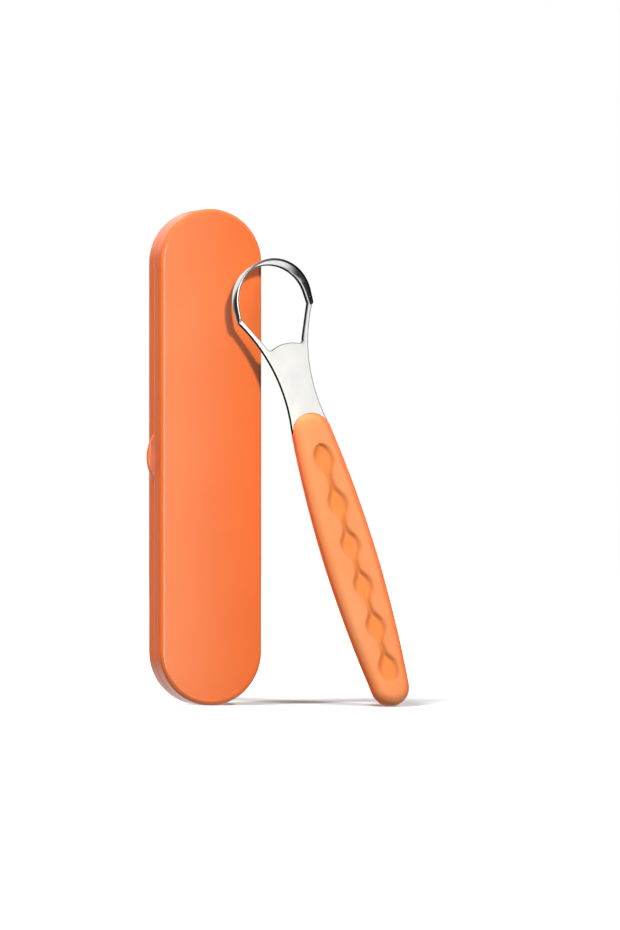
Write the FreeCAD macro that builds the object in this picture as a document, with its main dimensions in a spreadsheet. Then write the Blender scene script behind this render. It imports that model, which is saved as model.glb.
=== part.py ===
import FreeCAD, Part
import os
import re
import Sketcher

Vector = FreeCAD.Vector
doc = FreeCAD.newDocument("tongue_scraper_set")

# Driving dimensions: lengths in millimetres, angles in degrees.
sizes = {
    # travel case: two shells, stadium-shaped, standing on one round end
    "case_length": 180.0,
    "case_width": 39.0,
    "front_depth": 7.4,
    "rear_depth": 7.4,
    "case_wall": 1.3,
    "case_edge_radius": 1.6,
    "case_floor_radius": 0.8,
    "parting_gap": 0.1,
    # lip of the rear rim, which stands in a step of the front rim
    "lip_thickness": 0.6,
    "lip_height": 1.4,
    "lip_clearance": 0.12,
    "bead_radius": 0.45,
    "bead_reach": 0.2,
    "bead_length": 12.0,
    # thumb tab on the free side of the rear shell
    "tab_length": 17.0,
    "tab_reach": 2.5,
    "tab_thickness": 2.0,
    "tab_edge_radius": 0.5,
    # two pin hinges on the other side
    "hinge_spacing": 90.0,
    "hinge_axis_offset": 0.8,
    "hinge_pad_thickness": 1.0,
    "knuckle_radius": 1.4,
    "knuckle_length": 6.0,
    "knuckle_gap": 0.25,
    "knuckle_relief": 0.3,
    "pin_radius": 0.6,
    "pin_running_clearance": 0.05,
    "pin_seat_clearance": 0.01,
    "pin_chamfer": 0.15,
    # cradle ribs that carry the handle in the rear shell
    "rib_thickness": 1.2,
    "rib_rim_drop": 0.7,
    "rib_first_share": 0.2,
    "rib_last_share": 0.4556,
    # room that the stowed scraper has in the closed case
    "stow_clearance": 0.2,
    "stow_end_room": 4.75,
    # blade: loop, fork, neck and tang from one sheet
    "head_length": 57.3,
    "sheet_thickness": 1.4,
    "loop_radius": 14.95,
    "loop_leg_length": 4.45,
    "loop_leg_splay": 0.1,
    "ring_width": 1.8,
    "opening_rise": 0.55,
    "opening_leg_length": 4.0,
    "opening_splay": 0.1,
    "band_thickness": 0.9,
    "band_height": 8.1,
    "band_end_height": 3.3,
    "band_end_radius": 1.6,
    "crotch_drop": 17.05,
    "crotch_width": 14.7,
    "crotch_corner_radius": 1.65,
    "crotch_hump": 1.25,
    "neck_reach": 8.3,
    "neck_width": 12.6,
    "shoulder_width": 14.6,
    "shoulder_length": 6.0,
    "tang_width": 9.0,
    "tang_share": 0.696,
    "tang_hole_radius": 2.0,
    "tang_hole_share": 0.316,
    # handle: rigid core and soft grip
    "grip_width": 20.2,
    "grip_belly_share": 0.522,
    "grip_thickness": 8.6,
    "grip_tail_radius": 7.1,
    "grip_mouth_radius": 7.4,
    "grip_side_band": 1.4,
    "grip_skin": 1.7,
    "hollow_depth": 0.9,
    "hollow_radius": 3.3,
    "hollow_low_rise": 13.8,
    "hollow_high_drop": 17.6,
    "hollow_top_share": 0.2172,
    "hollow_neck_width": 2.0,
    "hollow_end_reach": 5.4,
    # how the scraper leans on the case
    "scraper_tilt": 14.5,
    "scraper_lean": 10.0,
    "loop_overhang": 1.95,
    "lean_clearance": 0.25,
    # how far joined forms run into each other, and cuts past the solid
    "weld": 0.3,
    "overrun": 2.0,
}
rib_count = 2
tang_hole_count = 3
even_gap_count = 4

# Dimensions that follow from the driving ones: the stowed scraper fills the case's length, the handle
# is what the head leaves of it, and the head lies on the edge of the case.
following = {
    "scraper_length": "case_length - 2 * (case_wall + stow_end_room)",
    "grip_length": "scraper_length - head_length",
    "grip_belly_height": "grip_length * grip_belly_share",
    "grip_edge_radius": "(grip_thickness - grip_side_band) / 2",
    "core_edge_radius": "grip_edge_radius - grip_skin",
    "tang_length": "grip_length * tang_share",
    "tang_hole_spacing": "tang_length * tang_hole_share",
    "hollow_run": "grip_length - hollow_low_rise - hollow_high_drop",
    "hollow_top_pitch": "hollow_run * hollow_top_share",
    "hollow_pitch": "(hollow_run - hollow_top_pitch) / %d" % even_gap_count,
    "rib_first_height": "case_length * rib_first_share",
    "rib_spacing": "case_length * (rib_last_share - rib_first_share)",
    "loop_height": "scraper_length - loop_radius",
    "band_slope": "atan((band_height - band_end_height) / (loop_radius + loop_leg_length))",
    "tail_offset": "case_width / 2 + loop_overhang + loop_height * sin(scraper_tilt)",
}

sheet = doc.addObject("Spreadsheet::Sheet", "Sizes")
entries = {**{name: str(number) for name, number in sizes.items()},
           **{name: "=" + words for name, words in following.items()}}
for row, (alias, entry) in enumerate(entries.items(), start=1):
    sheet.set("A%d" % row, alias)
    sheet.set("B%d" % row, entry)
    sheet.setAlias("B%d" % row, alias)
doc.recompute()


# A formula is words over the sheet's aliases, such as "case_width / 2 - case_wall".
def cells(words):
    return re.sub("[a-z_]+", lambda word: "Sizes." + word[0] if word[0] in entries else word[0], words)


def value(words):
    return float(sheet.evalExpression(cells(words)))


def bind(item, path, words):
    item.setExpression(path, cells(words))


def negative(words):
    return "-(%s)" % words


def new_body(label):
    body = doc.addObject("PartDesign::Body", label)
    body.Label = label
    return body


def sketch_on(body, role, name, offset="0"):
    sketch = body.newObject("Sketcher::SketchObject", name)
    plane = next(item for item in body.Origin.OriginFeatures if item.Role == role)
    sketch.AttachmentSupport = [(plane, "")]
    sketch.MapMode = "FlatFace"
    bind(sketch, "AttachmentOffset.Base.z", offset)
    return sketch


def dimension(sketch, kind, *where, words):
    number = sketch.addConstraint(Sketcher.Constraint(kind, *where, value(words)))
    bind(sketch, "Constraints[%d]" % number, words)


# Sets one point of a sketch by its distances from the origin; a zero puts it on that axis.
def place(sketch, shape, point, across, along):
    for kind, axis, words in (("DistanceX", -2, across), ("DistanceY", -1, along)):
        if words == "0":
            sketch.addConstraint(Sketcher.Constraint("PointOnObject", shape, point, axis))
        else:
            dimension(sketch, kind, -1, 1, shape, point, words=words)


# A closed outline from corner to corner. A corner of two formulas starts a straight edge, and one of
# four starts an arc through the point that the last two give.
def outline(sketch, *corners):
    spots = [Vector(value(corner[0]), value(corner[1])) for corner in corners]
    ends = []
    first = sketch.GeometryCount
    for corner, spot, after in zip(corners, spots, spots[1:] + spots[:1]):
        if len(corner) == 2:
            sketch.addGeometry(Part.LineSegment(spot, after))
            ends.append((1, 2))
            continue
        via = Vector(value(corner[2]), value(corner[3]))
        sketch.addGeometry(Part.Arc(spot, via, after))
        turns_left = (via - spot).cross(after - spot).z > 0
        ends.append((1, 2) if turns_left else (2, 1))
    for step, corner in enumerate(corners):
        edge = first + step
        before = first + (step - 1) % len(corners)
        joint = Sketcher.Constraint("Coincident", before, ends[step - 1][1], edge, ends[step][0])
        sketch.addConstraint(joint)
        place(sketch, edge, ends[step][0], corner[0], corner[1])
    for step, corner in enumerate(corners):
        if len(corner) == 4:
            via = sketch.addGeometry(Part.Point(Vector(value(corner[2]), value(corner[3]))), True)
            place(sketch, via, 1, corner[2], corner[3])
            sketch.addConstraint(Sketcher.Constraint("PointOnObject", via, 1, first + step))


def circle(sketch, across, along, radius):
    centre = Vector(value(across), value(along))
    shape = sketch.addGeometry(Part.Circle(centre, Vector(0, 0, 1), value(radius)))
    place(sketch, shape, 3, across, along)
    dimension(sketch, "Radius", shape, words=radius)


# The stadium of the case, drawn in from the case's own outline by the inset.
def stadium(sketch, inset):
    half = "(case_width / 2 - (%s))" % inset
    low, high = "case_width / 2", "case_length - case_width / 2"
    outline(
        sketch,
        (half, low),
        (half, high, "0", "case_length - (%s)" % inset),
        (negative(half), high),
        (negative(half), low, "0", inset),
    )


# A spindle: a round tail and a round mouth joined by two long arcs that touch both.
def spindle(sketch, inset):
    tail, mouth = "grip_tail_radius - (%s)" % inset, "grip_mouth_radius - (%s)" % inset
    half, belly = "grip_width / 2 - (%s)" % inset, "grip_belly_height"
    tail_at, mouth_at = "grip_tail_radius", "grip_length - grip_mouth_radius"
    low, high = value(tail_at), value(mouth_at)
    widest = Vector(value(half), value(belly))
    tail_low = Vector(0, low - value(tail))
    mouth_high = Vector(0, high + value(mouth))
    tail_right, tail_left = Vector(value(tail), low), Vector(-value(tail), low)
    mouth_right, mouth_left = Vector(value(mouth), high), Vector(-value(mouth), high)
    round_tail = sketch.addGeometry(Part.Arc(tail_left, tail_low, tail_right))
    right = sketch.addGeometry(Part.Arc(tail_right, widest, mouth_right))
    round_mouth = sketch.addGeometry(Part.Arc(mouth_right, mouth_high, mouth_left))
    left = sketch.addGeometry(Part.Arc(mouth_left, Vector(-widest.x, widest.y), tail_left))
    ring = (round_tail, right, round_mouth, left)
    for edge, after in zip(ring, ring[1:] + ring[:1]):
        sketch.addConstraint(Sketcher.Constraint("Tangent", edge, 2, after, 1))
    for edge, radius, height in ((round_tail, tail, tail_at), (round_mouth, mouth, mouth_at)):
        dimension(sketch, "Radius", edge, words=radius)
        place(sketch, edge, 3, "0", height)
    sketch.addConstraint(Sketcher.Constraint("Equal", right, left))
    point = sketch.addGeometry(Part.Point(widest), True)
    place(sketch, point, 1, half, belly)
    sketch.addConstraint(Sketcher.Constraint("PointOnObject", point, 1, right))


def pad(body, name, sketch, length, reverse=False, symmetric=False):
    feature = body.newObject("PartDesign::Pad", name)
    feature.Profile = sketch
    bind(feature, "Length", length)
    feature.Reversed = reverse
    feature.SideType = "Symmetric" if symmetric else "One side"
    doc.recompute()
    return feature


# A cut has to take something away, or its direction is wrong.
def pocket(body, name, sketch, depth, reverse=False, symmetric=False):
    before = body.Shape.Volume
    feature = body.newObject("PartDesign::Pocket", name)
    feature.Profile = sketch
    bind(feature, "Length", depth)
    feature.Reversed = reverse
    feature.SideType = "Symmetric" if symmetric else "One side"
    doc.recompute()
    if body.Shape.Volume >= before:
        raise RuntimeError(name + " cuts nothing")
    return feature


def round_edges(body, name, radius, wanted):
    base = body.Tip
    names = ["Edge%d" % (i + 1) for i, edge in enumerate(base.Shape.Edges) if wanted(edge)]
    feature = body.newObject("PartDesign::Fillet", name)
    feature.Base = (base, names)
    bind(feature, "Radius", radius)
    doc.recompute()
    return feature


def lies_at(edge, depth):
    box = edge.BoundBox
    return abs(box.YMin - depth) < Part.Precision.confusion() and box.YLength < Part.Precision.confusion()


# Half a case: a filleted stadium, hollowed from the parting plane. The front one reaches to -Y.
def case_shell(label, depth, front):
    body = new_body(label)
    side = -1 if front else 1
    rim = "parting_gap / 2" if front else "-parting_gap / 2"
    solid = sketch_on(body, "XZ_Plane", label + "_outline", rim)
    stadium(solid, "0")
    pad(body, label + "_solid", solid, depth + " - parting_gap / 2", reverse=not front)
    face = side * value(depth)
    round_edges(body, label + "_edge", "case_edge_radius", lambda edge: lies_at(edge, face))
    hollow = sketch_on(body, "XZ_Plane", label + "_hollow_outline", rim)
    stadium(hollow, "case_wall")
    pocket(body, label + "_hollow", hollow, depth + " - case_wall - parting_gap / 2", reverse=front)
    floor = side * value(depth + " - case_wall")
    round_edges(body, label + "_floor_edge", "case_floor_radius", lambda edge: lies_at(edge, floor))
    return body


hinge_x = "(case_width / 2 + hinge_axis_offset)"
inner_x = "(case_width / 2 - case_wall)"
knuckle_step = "(knuckle_length + knuckle_gap)"
relief_half = "(knuckle_length * 3 / 2 + knuckle_gap * 2)"
hinges = {
    "lower": "(case_length / 2 - hinge_spacing / 2)",
    "upper": "(case_length / 2 + hinge_spacing / 2)",
}


# The wall is thickened inside each hinge and cut away round the knuckles of both shells.
def hinge_seats(body, depth, front):
    rim = "parting_gap / 2" if front else "-parting_gap / 2"
    for name, height in hinges.items():
        label = "%s_%s_hinge" % (body.Label, name)
        low = "%s - %s - case_wall" % (height, relief_half)
        high = "%s + %s + case_wall" % (height, relief_half)
        inside = inner_x + " - hinge_pad_thickness"
        outside = inner_x + " + weld"
        block = sketch_on(body, "XZ_Plane", label + "_pad_outline", rim)
        outline(block, (inside, low), (outside, low), (outside, high), (inside, high))
        reach = depth + " - case_wall - parting_gap / 2 + weld"
        pad(body, label + "_pad", block, reach, reverse=not front)
        relief = sketch_on(body, "XY_Plane", label + "_relief_outline", "%s - %s" % (height, relief_half))
        circle(relief, hinge_x, "0", "knuckle_radius + knuckle_relief")
        pocket(body, label + "_relief", relief, relief_half + " * 2", reverse=True)


# A knuckle is a round eye with a foot that runs into the wall of its own shell.
def knuckle(body, name, middle, front, bore):
    sign = "-1" if front else "1"
    foot = sign + " * (knuckle_radius + knuckle_relief + weld)"
    rim = sign + " * parting_gap / 2"
    bottom = sign + " * knuckle_radius"
    slant = "sqrt(1 / 2) * knuckle_radius"
    eye = sketch_on(body, "XY_Plane", name + "_outline", "%s - knuckle_length / 2" % middle)
    outline(
        eye,
        (inner_x, foot),
        ("case_width / 2", foot),
        (hinge_x, bottom, "%s + %s" % (hinge_x, slant), "-%s * %s" % (sign, slant)),
        (hinge_x + " - knuckle_radius", "0"),
        (inner_x, rim),
    )
    circle(eye, hinge_x, "0", bore)
    pad(body, name, eye, "knuckle_length")


def hinge_pin(label, height):
    body = new_body(label)
    low = "%s - knuckle_length * 3 / 2 - knuckle_gap" % height
    section = sketch_on(body, "XY_Plane", label + "_section", low)
    circle(section, hinge_x, "0", "pin_radius")
    rod = pad(body, label + "_rod", section, "knuckle_length * 3 + knuckle_gap * 2")
    ends = body.newObject("PartDesign::Chamfer", label + "_ends")
    names = ["Edge%d" % (i + 1) for i, edge in enumerate(rod.Shape.Edges) if edge.isClosed()]
    ends.Base = (rod, names)
    bind(ends, "Size", "pin_chamfer")
    doc.recompute()
    return body


lip_x = "(case_width / 2 - case_wall + lip_thickness)"
bead_x = "-(%s + bead_reach - bead_radius)" % lip_x
bead_low = "case_length / 2 - bead_length / 2"

# Front shell: stepped rim, groove for the snap bead, and the middle knuckle of each hinge.
front_shell = case_shell("front_shell", "front_depth", front=True)
step = sketch_on(front_shell, "XZ_Plane", "rim_step_outline")
stadium(step, "case_wall - lip_thickness - lip_clearance")
pocket(front_shell, "rim_step", step, "lip_height + lip_clearance", reverse=True)
groove = sketch_on(front_shell, "XY_Plane", "snap_groove_section", bead_low + " - lip_clearance")
circle(groove, bead_x, "-lip_height / 2", "bead_radius + lip_clearance")
pocket(front_shell, "snap_groove", groove, "bead_length + lip_clearance * 2", reverse=True)
hinge_seats(front_shell, "front_depth", front=True)
for name, height in hinges.items():
    knuckle(front_shell, name + "_front_knuckle", height, True, "pin_radius + pin_running_clearance")

# Rear shell: rim lip with its snap bead, thumb tab, cradle ribs and the outer knuckles.
rear_shell = case_shell("rear_shell", "rear_depth", front=False)
lip = sketch_on(rear_shell, "XZ_Plane", "rim_lip_outline", "-parting_gap / 2")
stadium(lip, "case_wall - lip_thickness")
stadium(lip, "case_wall")
pad(rear_shell, "rim_lip", lip, "lip_height + parting_gap / 2")
bead = sketch_on(rear_shell, "XY_Plane", "snap_bead_section", bead_low)
circle(bead, bead_x, "-lip_height / 2", "bead_radius")
pad(rear_shell, "snap_bead", bead, "bead_length")
for name, height in hinges.items():
    gap = sketch_on(rear_shell, "XZ_Plane", name + "_lip_gap_outline", "-parting_gap / 2")
    low = "%s - %s - case_wall - lip_clearance" % (height, relief_half)
    high = "%s + %s + case_wall + lip_clearance" % (height, relief_half)
    inside, outside = inner_x + " - overrun", "case_width / 2"
    outline(gap, (inside, low), (outside, low), (outside, high), (inside, high))
    pocket(rear_shell, name + "_lip_gap", gap, "lip_height + overrun", reverse=True)
tab = sketch_on(rear_shell, "XZ_Plane", "thumb_tab_outline", "-parting_gap / 2")
tab_root = "-(case_width / 2 - weld)"
tab_low, tab_high = "case_length / 2 - tab_length / 2", "case_length / 2 + tab_length / 2"
outline(tab, (tab_root, tab_high, "-(case_width / 2 + tab_reach)", "case_length / 2"), (tab_root, tab_low))
pad(rear_shell, "thumb_tab", tab, "tab_thickness", reverse=True)
wall_x = -value("case_width / 2 + tab_edge_radius")
round_edges(rear_shell, "thumb_tab_edge", "tab_edge_radius",
            lambda edge: edge.BoundBox.XMin < wall_x and edge.BoundBox.ZLength > edge.BoundBox.YLength)

# Each rib is a cross wall with a round-cornered notch that the handle lies in, face down, so high that
# the band clears the floor of the shell.
rib_floor = "(rear_depth - case_wall)"
rib_top = "rib_rim_drop"
seat = "(%s - (band_height - sheet_thickness / 2 + stow_clearance - grip_thickness / 2))" % rib_floor
notch_half = "(grip_width / 2 + stow_clearance)"
notch_round = "(%s - %s)" % (seat, rib_top)
bulge = "(%s * (1 - sqrt(1 / 2)))" % notch_round
rib_end = "(%s + weld)" % inner_x
for count in range(rib_count):
    rib = sketch_on(rear_shell, "XY_Plane", "cradle_rib_%d_outline" % count,
                    "rib_first_height + %d * rib_spacing" % count)
    outline(
        rib,
        (negative(rib_end), rib_floor + " + weld"),
        (rib_end, rib_floor + " + weld"),
        (rib_end, rib_top),
        (notch_half, rib_top, "%s - %s" % (notch_half, bulge), "%s - %s" % (seat, bulge)),
        ("%s - %s" % (notch_half, notch_round), seat),
        ("-(%s - %s)" % (notch_half, notch_round), seat, "-(%s - %s)" % (notch_half, bulge),
         "%s - %s" % (seat, bulge)),
        (negative(notch_half), rib_top),
        (negative(rib_end), rib_top),
    )
    pad(rear_shell, "cradle_rib_%d" % count, rib, "rib_thickness")
hinge_seats(rear_shell, "rear_depth", front=False)
for name, height in hinges.items():
    for end, sign in (("low", " - "), ("high", " + ")):
        knuckle(rear_shell, "%s_%s_knuckle" % (name, end), height + sign + knuckle_step, False,
                "pin_radius + pin_seat_clearance")

pins = [hinge_pin(name + "_hinge_pin", height) for name, height in hinges.items()]

# Blade, flat in the XZ plane with the tail of the handle at the origin: the loop's ring and the fork
# in one sheet, then the band drawn forward from the rim of the ring. The loop is a half circle on two
# legs that splay a little.
opening = "(loop_radius - ring_width)"
band_inner = "(loop_radius - band_thickness)"
crotch_at = "(loop_height - crotch_drop)"
shoulder_at = "(grip_length - grip_mouth_radius + shoulder_length / 2)"
tang_top = "(%s - shoulder_length)" % shoulder_at
tang_end = "(%s - tang_length)" % tang_top


# The loop line of a radius about a centre, from the foot of one leg over the top to the foot of the other.
def loop_line(radius, leg, splay, centre="loop_height"):
    low = "%s - %s" % (centre, leg)
    return [
        ("%s + %s" % (radius, splay), low),
        (radius, centre, "0", "%s + %s" % (centre, radius)),
        (negative(radius), centre),
        (negative("(%s + %s)" % (radius, splay)), low),
    ]


loop_rim = loop_line("loop_radius", "loop_leg_length", "loop_leg_splay")
scraper_blade = new_body("scraper_blade")
pressing = sketch_on(scraper_blade, "XZ_Plane", "pressing_outline")
neck_at = "grip_length + neck_reach"
outline(
    pressing,
    *loop_rim[:-1],
    (*loop_rim[-1], "-neck_width / 2", neck_at),
    ("-shoulder_width / 2", shoulder_at),
    ("-shoulder_width / 2", tang_top),
    ("-tang_width / 2", tang_top),
    ("-tang_width / 2", tang_end + " + tang_width / 2", "0", tang_end),
    ("tang_width / 2", tang_end + " + tang_width / 2"),
    ("tang_width / 2", tang_top),
    ("shoulder_width / 2", tang_top),
    ("shoulder_width / 2", shoulder_at, "neck_width / 2", neck_at),
)
corner = "crotch_corner_radius"
corner_bulge = "crotch_corner_radius * (1 - sqrt(1 / 2))"
outline(
    pressing,
    *loop_line(opening, "opening_leg_length", "opening_splay", "loop_height + opening_rise"),
    ("-crotch_width / 2", crotch_at + " + " + corner, "-(crotch_width / 2 - %s)" % corner_bulge,
     "%s + %s" % (crotch_at, corner_bulge)),
    ("-(crotch_width / 2 - %s)" % corner, crotch_at, "0", crotch_at + " + crotch_hump"),
    ("crotch_width / 2 - " + corner, crotch_at, "crotch_width / 2 - " + corner_bulge,
     "%s + %s" % (crotch_at, corner_bulge)),
    ("crotch_width / 2", crotch_at + " + " + corner),
)
for count in range(tang_hole_count):
    circle(pressing, "0", "%s + tang_width / 2 + %d * tang_hole_spacing" % (tang_end, count),
           "tang_hole_radius")
pad(scraper_blade, "pressing", pressing, "sheet_thickness", symmetric=True)
band = sketch_on(scraper_blade, "XZ_Plane", "band_outline", "-sheet_thickness / 2")
foot, near_top, far_top, far_foot = loop_line(band_inner, "loop_leg_length", "loop_leg_splay")
outline(band, *loop_rim, far_foot, (*far_top, *near_top[2:]), near_top[:2], foot)
pad(scraper_blade, "band", band, "band_height")

# The band's front edge slopes evenly from the top of the loop down to the fork. At both ends a round
# touches the slope and the foot of the band; its middle lies on the line that halves their corner.
band_front = "-(band_height - sheet_thickness / 2)"
end_front = "-(band_end_height - sheet_thickness / 2)"
low, high = "(loop_height - loop_leg_length)", "(loop_height + loop_radius)"
end_reach = "band_end_radius * (1 - sin(band_slope)) / cos(band_slope)"
end_inset = "band_end_radius * (sqrt(2 / (1 + sin(band_slope))) - 1)"
foot_edge = "%s + %s" % (end_front, end_reach)
trim = sketch_on(scraper_blade, "YZ_Plane", "band_edge_outline")
outline(
    trim,
    (foot_edge, low, "%s + %s * sqrt((1 - sin(band_slope)) / 2)" % (end_front, end_inset),
     "%s + %s * sqrt((1 + sin(band_slope)) / 2)" % (low, end_inset)),
    ("%s - %s * sin(band_slope)" % (end_front, end_reach), "%s + %s * cos(band_slope)" % (low, end_reach)),
    (band_front, high),
    (band_front, high + " + overrun"),
    (band_front + " - overrun", high + " + overrun"),
    (band_front + " - overrun", low + " - overrun"),
    (foot_edge, low + " - overrun"),
)
pocket(scraper_blade, "band_edge", trim, "2 * (loop_radius + loop_leg_splay) + overrun", symmetric=True)

# Handle blanks: the core is the grip's form drawn in by the thickness of the soft skin.
core_blank = new_body("core_blank")
core_outline = sketch_on(core_blank, "XZ_Plane", "core_outline")
spindle(core_outline, "grip_skin")
pad(core_blank, "core_solid", core_outline, "grip_thickness - 2 * grip_skin", symmetric=True)
core_face = value("grip_thickness / 2 - grip_skin")
round_edges(core_blank, "core_edge", "core_edge_radius",
            lambda edge: lies_at(edge, core_face) or lies_at(edge, -core_face))

grip_blank = new_body("grip_blank")
grip_outline = sketch_on(grip_blank, "XZ_Plane", "grip_outline")
spindle(grip_outline, "0")
pad(grip_blank, "grip_solid", grip_outline, "grip_thickness", symmetric=True)
grip_face = value("grip_thickness / 2")
round_edges(grip_blank, "grip_edge", "grip_edge_radius",
            lambda edge: lies_at(edge, grip_face) or lies_at(edge, -grip_face))


# One link of the chain of hollows, from one round hollow's middle to the next: round at both ends and
# drawn in to a narrow neck by an arc on each side that touches both.
def hollow_link(sketch, low, pitch):
    base, step = value(low), value(pitch)
    radius, waist = value("hollow_radius"), value("hollow_neck_width / 2")
    bend = (step * step / 4 + waist * waist - radius * radius) / (2 * (radius - waist))
    touch = Vector(waist + bend, step / 2) * (radius / (radius + bend))
    sides = []
    for side in (1, -1):
        start, rise = Vector(side * radius, base), Vector(side * touch.x, base + touch.y)
        fall, end = Vector(side * touch.x, base + step - touch.y), Vector(side * radius, base + step)
        middle = Vector(side * waist, base + step / 2)
        centres = (Vector(0, base), Vector(0, base + step))
        vias = [centre + (spot - centre + other - centre).normalize() * radius
                for centre, spot, other in zip(centres, (start, fall), (rise, end))]
        lower = sketch.addGeometry(Part.Arc(start, vias[0], rise))
        neck = sketch.addGeometry(Part.Arc(rise, middle, fall))
        upper = sketch.addGeometry(Part.Arc(fall, vias[1], end))
        a, b = (1, 2) if side > 0 else (2, 1)
        sketch.addConstraint(Sketcher.Constraint("Tangent", lower, b, neck, b))
        sketch.addConstraint(Sketcher.Constraint("Tangent", neck, a, upper, a))
        for edge, height in ((lower, low), (upper, "%s + %s" % (low, pitch))):
            place(sketch, edge, 3, "0", height)
            dimension(sketch, "Radius", edge, words="hollow_radius")
        dimension(sketch, "DistanceY", -1, 1, lower, a, words=low)
        dimension(sketch, "DistanceY", -1, 1, upper, b, words="%s + %s" % (low, pitch))
        point = sketch.addGeometry(Part.Point(middle), True)
        place(sketch, point, 1, ("" if side > 0 else "-") + "hollow_neck_width / 2",
              "%s + %s / 2" % (low, pitch))
        sketch.addConstraint(Sketcher.Constraint("PointOnObject", point, 1, neck))
        sides.append((lower, a, upper, b))
    for near, far in ((0, 1), (2, 3)):
        right, left = sides
        spots = [sketch.getPoint(item[near], item[far]) for item in (right, left)]
        line = sketch.addGeometry(Part.LineSegment(*spots))
        sketch.addConstraint(Sketcher.Constraint("Coincident", line, 1, right[near], right[far]))
        sketch.addConstraint(Sketcher.Constraint("Coincident", line, 2, left[near], left[far]))


# The row ends in a half oval past its first and last hollow.
def hollow_cap(sketch, middle, reach):
    outline(sketch, ("hollow_radius", middle, "0", "%s + %s" % (middle, reach)),
            ("-hollow_radius", middle))


last_even = "(hollow_low_rise + %d * hollow_pitch)" % even_gap_count
last_hollow = "(grip_length - hollow_high_drop)"
for side, face in (("front", "grip_thickness / 2"), ("back", "-grip_thickness / 2")):
    behind = side == "back"
    link = sketch_on(grip_blank, "XZ_Plane", side + "_hollow_link", face)
    hollow_link(link, "hollow_low_rise", "hollow_pitch")
    cut = pocket(grip_blank, side + "_hollow", link, "hollow_depth", reverse=behind)
    row = grip_blank.newObject("PartDesign::LinearPattern", side + "_hollow_row")
    row.Originals = [cut]
    row.Direction = (link, ["V_Axis"])
    row.Mode = "Spacing"
    bind(row, "Offset", "hollow_pitch")
    row.Occurrences = even_gap_count
    grip_blank.Tip = row
    doc.recompute()
    top = sketch_on(grip_blank, "XZ_Plane", side + "_top_link", face)
    hollow_link(top, last_even, "hollow_top_pitch")
    pocket(grip_blank, side + "_top_hollow", top, "hollow_depth", reverse=behind)
    for name, middle, reach in (("tail", "hollow_low_rise", "-hollow_end_reach"),
                                ("mouth", last_hollow, "hollow_end_reach")):
        cap = sketch_on(grip_blank, "XZ_Plane", "%s_%s_cap" % (side, name), face)
        hollow_cap(cap, middle, reach)
        pocket(grip_blank, "%s_%s_hollow" % (side, name), cap, "hollow_depth", reverse=behind)


def cut_from(label, base, tool):
    result = doc.addObject("Part::Cut", label)
    result.Label = label
    result.Base = base
    result.Tool = tool
    doc.recompute()
    return result


# The core takes the tang, with plugs through its holes, and the grip takes the core and the blade.
handle_core = cut_from("handle_core", core_blank, scraper_blade)
open_grip = cut_from("open_grip", grip_blank, scraper_blade)
handle_grip = cut_from("handle_grip", open_grip, core_blank)

# The scraper leans: tilted sideways in its own plane, then back, with its tail on the floor and the
# rearmost part of its loop just off the front face of the case.
turn_to_lean = FreeCAD.Rotation(Vector(1, 0, 0), -value("scraper_lean"))
turn_to_tilt = FreeCAD.Rotation(Vector(0, 1, 0), -value("scraper_tilt"))
leaning = turn_to_lean.multiply(turn_to_tilt)
loose = Part.makeCompound([scraper_blade.Shape, handle_grip.Shape])
loose.Placement = FreeCAD.Placement(Vector(), leaning)
span = loose.optimalBoundingBox(False)
rest_y = -value("front_depth + lean_clearance")
spot = Vector(value("tail_offset"), rest_y - span.YMax, -span.ZMin)

# The origin lies under the middle of the whole set's box.
loose.Placement = FreeCAD.Placement(spot, leaning)
everything = Part.makeCompound([front_shell.Shape, rear_shell.Shape, loose])
box = everything.optimalBoundingBox(False)
origin = Vector(box.Center.x, box.Center.y, box.ZMin)
for body in (front_shell, rear_shell, *pins):
    body.Placement.Base = origin * -1
for body in (scraper_blade, core_blank, grip_blank):
    body.Placement = FreeCAD.Placement(spot - origin, leaning)
doc.recompute()

subparts = [front_shell, rear_shell, *pins, scraper_blade, handle_core, handle_grip]
for item in doc.Objects:
    if "Invalid" in item.State or "Error" in item.State:
        raise RuntimeError(item.Label + " failed to build")
for item in subparts:
    if item.Shape.isNull() or not item.Shape.isValid() or len(item.Shape.Solids) != 1:
        raise RuntimeError(item.Label + " is not one valid solid")

os.makedirs("parts", exist_ok=True)
for item in subparts:
    item.Shape.exportStep(os.path.join("parts", item.Label + ".step"))
    extent = item.Shape.optimalBoundingBox(False)
    print("%-16s %8.2f mm3   x %7.2f to %7.2f   y %7.2f to %7.2f   z %7.2f to %7.2f" % (
        item.Label, item.Shape.Volume, extent.XMin, extent.XMax, extent.YMin, extent.YMax,
        extent.ZMin, extent.ZMax))
print("case axis at x %.3f y %.3f" % (-origin.x, -origin.y))
print("scraper tail at", spot - origin)
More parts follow.
